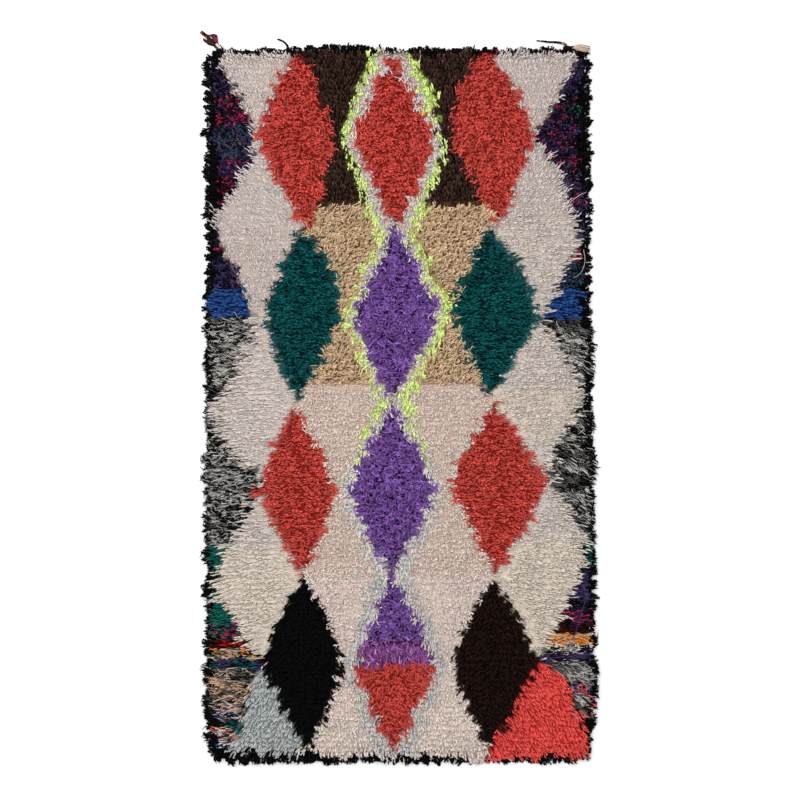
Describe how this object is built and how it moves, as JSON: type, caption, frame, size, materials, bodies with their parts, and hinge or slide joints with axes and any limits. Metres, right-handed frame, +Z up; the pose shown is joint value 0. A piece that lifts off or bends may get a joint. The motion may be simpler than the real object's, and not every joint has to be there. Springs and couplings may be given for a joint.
{
  "type": "boucherouite rug",
  "caption": "Hand-knotted shag rug with a lumpy wool pile, locks round its rim, a knotted corner tassel and loose weave ends, lying flat on the floor",
  "frame": {"origin": "on the floor, under the middle of the rug with its tassel and ends", "axes": "X across the rug, +Y along it towards the end with the corner tassel, +Z up out of the pile"},
  "size_m": [1.0284, 1.8806, 0.0285],
  "materials": {
    "pile_wool": "matte wool pile in many yarn colours",
    "tassel_wool": "matte dark brown and red wool",
    "weave_ends": "matte beige and black twisted yarn",
    "stray_yarn": "matte dark twisted yarn"
  },
  "bodies": {
    "root": {"rug": "pile_wool", "corner_tassel": "tassel_wool", "cut_ends": "weave_ends", "stray_end": "stray_yarn"}
  },
  "joints": []
}
